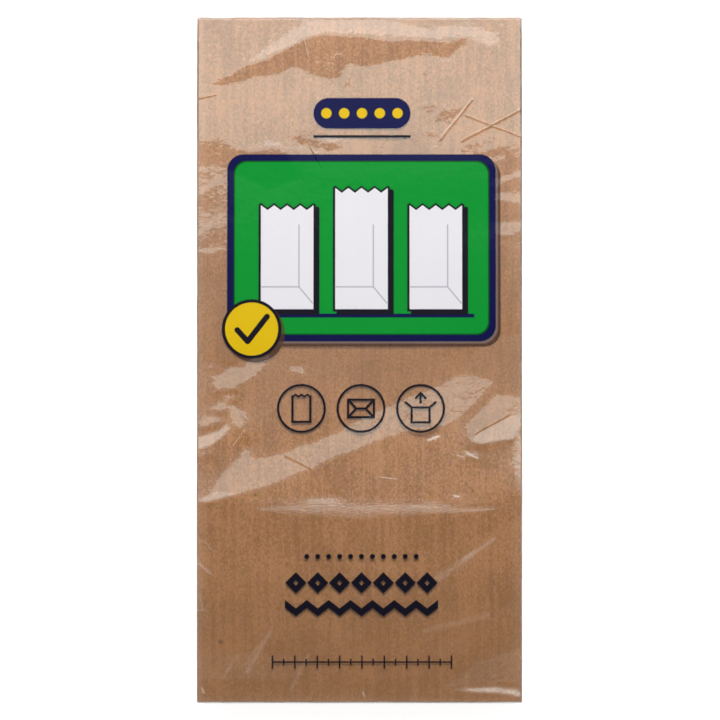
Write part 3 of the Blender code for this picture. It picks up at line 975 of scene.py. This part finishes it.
def clearFilm(name, front):
    finish = Finish(bpy.data.materials.new(name))
    x, y, z = finish.place()
    if front:
        coarse, fine = gloss["unevenness"]
        height = finish.noise(finish.at(x * 0.35, y * 0.35, z * 0.35), 2.0, 0.55) * coarse
        height = height + finish.noise(finish.at(x * 1.5, y * 1.2, z * 1.4), 1.0, 0.5) * fine
        # crinkled where it crosses the edge of the folded bases
        crossing = finish.ramp(abs(y + 59.2), 3.6, 1.2) * finish.ramp(abs(x - 5.0), 56.0, 40.0)
        crinkle = finish.noise(finish.at(x * 0.75, y * 1.3, z), 2.0, 0.6)
        height = (crossing * crinkle).math("MULTIPLY_ADD", gloss["crinkle"], height)
        point = finish.at(x, y)
        for start, end, width, tall in creases:
            ridge = drawn(point, start, end, width)
            height = (ridge * ridge).math("MULTIPLY_ADD", tall, height)
    else:
        folds = abs(finish.noise(finish.at(x * 0.16, y * 0.16, z * 0.12), 3.0, 0.6) - 0.5)
        waves = finish.noise(finish.at(x * 0.3, y * 0.3, z * 0.25), 2.0, 0.5)
        height = waves * gloss["backWaves"] - folds * gloss["backFolds"]
    bump = finish.node("ShaderNodeBump", inputs={"Strength": 1.0, "Distance": mm, "Height": height})

    facing = finish.node("ShaderNodeLayerWeight", inputs={"Blend": 0.5}, output="Facing")
    straightOn = gloss["straightOn"] * (1 - finish.ramp(y, 110.0, 0.0) * gloss["lowerLoss"])
    back = straightOn + (1 - straightOn) * facing ** 5.0
    clear = finish.node("ShaderNodeBsdfTransparent", inputs=[gloss["clear"]])
    # scattering of milky film, which also carries the painted highlights and sparkles
    milkyAndGlare = finish.node("ShaderNodeBsdfDiffuse", inputs=[gloss["milk"]])
    # the long seam on the back is sealed in fine ribs, and looks whiter
    seam = abs(x - (film["seamX"] + film["seamWidth"] / 2) / mm) - 4.0
    ribs = (y / 0.9).math("PINGPONG", 1.0)
    sealed = finish.ramp(seam.most(z - 2.0), 0.1, -0.1) * (0.4 + 0.6 * ribs)
    scuff = finish.ramp(finish.noise(finish.at(x * 0.12, y * 0.2, z * 0.12), 4.0, 0.6), 0.52, 0.78)
    # haze stored on the mesh: folded layers, milky film and painted highlights
    meshHazeAndGlare = finish.node("ShaderNodeAttribute", {"attribute_name": "haze"}, output="Fac")
    haze = gloss["haze"] + scuff * gloss["scuffed"] + sealed * gloss["sealHaze"] + meshHazeAndGlare
    if front:
        # white scuffs, and painted sparkles where the film mirrors the lamp
        for start, end, width, share in scuffsAndSparkles:
            whitened = drawn(point, start, end, width, "SMOOTHSTEP")
            haze = whitened.math("MULTIPLY_ADD", share, haze)
    haze = haze.clamped()
    sheet = finish.mixShader(haze, clear, milkyAndGlare)
    shine = finish.node("ShaderNodeBsdfGlossy", inputs={
        "Color": white, "Roughness": gloss["roughness"], "Normal": bump})
    sheet = finish.mixShader(back, sheet, shine)
    # rays that only carry light to the paper need no more than what the print covers,
    # and leaving the rest out for them saves much of a render's time
    carrying = finish.node("ShaderNodeLightPath", output="Is Shadow Ray")
    carrying = carrying.most(Wire(finish, carrying.socket.node.outputs["Is Diffuse Ray"]))
    passing = finish.node("ShaderNodeBsdfTransparent", inputs=[gloss["passed"]])
    if not front:
        return finish.done(finish.mixShader(carrying, sheet, passing))

    inks = printedInk(finish, x, y)
    printed = finish.node("ShaderNodeBsdfPrincipled", inputs={
        "Base Color": inks.colour, "Roughness": ink["roughness"], "Specular IOR Level": ink["specular"],
        "Normal": bump})
    straight, glancing = gloss["overInk"]
    printed = finish.mixShader(straight + glancing * facing ** 5.0, printed, shine)
    covered = finish.node("ShaderNodeBsdfDiffuse", inputs=[ink["shadow"]])
    passing = finish.mixShader(inks.cover, passing, covered)
    return finish.done(finish.mixShader(carrying, finish.mixShader(inks.cover, sheet, printed), passing))


# Studio: a pale floor and surround, a key lamp past the mouth end, a softbox beyond it that
# the film mirrors, and weak fills low on the other sides
middle = (0.0, 0.0, 0.03)      # of the pack, where the key and the fills point
studio = dict(
    floorColour=(0.82, 0.82, 0.82, 1.0),
    floorSide=4.0,
    floorDrop=0.3 * mm,        # below the pack
    floorGlow=0.87,
    packHalf=(67.0, 141.0),    # the floor doesn't glow within this, in mm
    surround=0.10,
    walls=0.12,                # mirrored only, everywhere
    windows=0.85,              # eight, mirrored only, low all around
    wash=1.0,                  # mirrored only, overhead, growing towards the softbox
    key=dict(place=(0.0, 0.9, 0.9), size=(0.8, 0.54), radiance=11.7, aim=middle, mirrored=False),
    softbox=dict(place=(0.0, 0.94, 3.0), size=(3.2, 0.8), radiance=1.8, tint=(0.88, 1.0, 0.95)),
    hotHalf=dict(place=(0.0, 1.08, 2.98), size=(3.2, 0.52), radiance=1.75, tint=(0.88, 0.92, 0.92)),
    leftFill=dict(place=(-1.6, 0.0, 0.35), size=(1.4, 0.5), radiance=1.7, aim=middle, mirrored=False),
    rightFill=dict(place=(1.6, 0.0, 0.35), size=(1.4, 0.5), radiance=1.7, aim=middle, mirrored=False),
    foldFill=dict(place=(0.0, -1.6, 0.35), size=(1.4, 0.5), radiance=1.3, aim=middle),
)


def addLight(name, place, size, radiance, aim=None, mirrored=True, tint=(1.0, 1.0, 1.0)):
    # a rectangular lamp; its power is radiance times area times pi
    lamp = bpy.data.lights.new(name, "AREA")
    lamp.shape = "RECTANGLE"
    lamp.size, lamp.size_y = size
    lamp.energy = radiance * size[0] * size[1] * math.pi
    lamp.color = tint
    lampObject = bpy.data.objects.new(name, lamp)
    lampObject.location = place
    if aim:
        way = Vector(aim) - Vector(place)
        lampObject.rotation_euler = way.to_track_quat("-Z", "Y").to_euler()
    lampObject.visible_camera = False
    lampObject.visible_glossy = mirrored
    bpy.context.scene.collection.objects.link(lampObject)


def seenDirectly(finish):
    # 1 for rays from the camera, and 1 for those that were mirrored or passed through
    path = finish.node("ShaderNodeLightPath", output="Is Camera Ray")
    outputs = path.socket.node.outputs
    mirrored = Wire(finish, outputs["Is Glossy Ray"])
    through = Wire(finish, outputs["Is Transmission Ray"])
    return path, mirrored.most(through)


def addStudio():
    # the floor glows around the pack, so that it looks white, but not beneath it
    finish = Finish(bpy.data.materials.new("pale_floor"))
    x, y, _ = finish.place()
    direct, mirrored = seenDirectly(finish)
    halfX, halfY = studio["packHalf"]
    outside = finish.ramp((abs(x) - halfX).most(abs(y) - halfY), -0.5, 0.0)
    matt = finish.node("ShaderNodeBsdfDiffuse", inputs=[studio["floorColour"]])
    glow = finish.node("ShaderNodeEmission", inputs=[white, studio["floorGlow"]])
    glowing = finish.node("ShaderNodeAddShader", inputs=[matt, glow])
    above = finish.mixShader(direct.most(mirrored) * outside, matt, glowing)
    under = finish.node("ShaderNodeNewGeometry", output="Backfacing")
    surface = finish.mixShader(under, above, finish.node("ShaderNodeBsdfTransparent"))
    mesh = bpy.data.meshes.new("floor")
    side, low = studio["floorSide"], -studio["floorDrop"]
    mesh.from_pydata([(-side, -side, low), (side, -side, low), (side, side, low), (-side, side, low)],
                     [], [(0, 1, 2, 3)])
    mesh.materials.append(finish.done(surface))
    floor = bpy.data.objects.new("floor", mesh)
    bpy.context.scene.collection.objects.link(floor)

    sky = Finish(bpy.data.worlds.new("studio"))
    direct, mirrored = seenDirectly(sky)
    east, north, up = sky.axes(sky.node("ShaderNodeTexCoord", output="Generated"))
    sector = (north.math("ARCTAN2", east) * (8 / math.pi)).math("PINGPONG", 1.0)
    windows = sky.ramp(up, 0.16, 0.34) * sky.ramp(up, 0.62, 0.56) * sky.ramp(sector, 0.84, 0.74)
    wash = sky.ramp(up, 0.8, 0.9) * sky.ramp(north, -0.06, 0.19)
    extra = windows * studio["windows"] + wash * studio["wash"] + studio["walls"]
    strength = studio["surround"] + (1 - studio["surround"]) * direct + mirrored * extra
    bpy.context.scene.world = sky.done(sky.node("ShaderNodeBackground", inputs=[white, strength]))

    for name, settings in studio.items():
        if isinstance(settings, dict):
            addLight(name, **settings)


def addCamera():
    camera = bpy.data.cameras.new("camera")
    camera.sensor_width = view["sensor"]
    camera.lens = view["sensor"] * view["distance"] / (view["side"] * view["metresPerPixel"])
    seer = bpy.data.objects.new("camera", camera)
    centre = np.array(view["centre"]) - view["side"] / 2
    scale = view["metresPerPixel"]
    seer.location = (-centre[0] * scale, centre[1] * scale, filmHigh[2] + view["distance"])
    bpy.context.scene.collection.objects.link(seer)
    bpy.context.scene.camera = seer
    bpy.context.scene.view_settings.view_transform = "Standard"


addCamera()
addStudio()
print("studio ready")
papers = [kraftPaper(f"kraft_paper_{letter}", shade=shade) for letter, shade in kraft["shades"]]
topPaper = kraftPaper("kraft_paper_front", front=True)
for index, name in enumerate(bagNames):
    last = index == len(bagNames) - 1
    addBag(name, index, last, topPaper if last else papers[index % 3])
print("bags ready")
addFilm([clearFilm("clear_film", False), clearFilm("clear_film_print", True)])
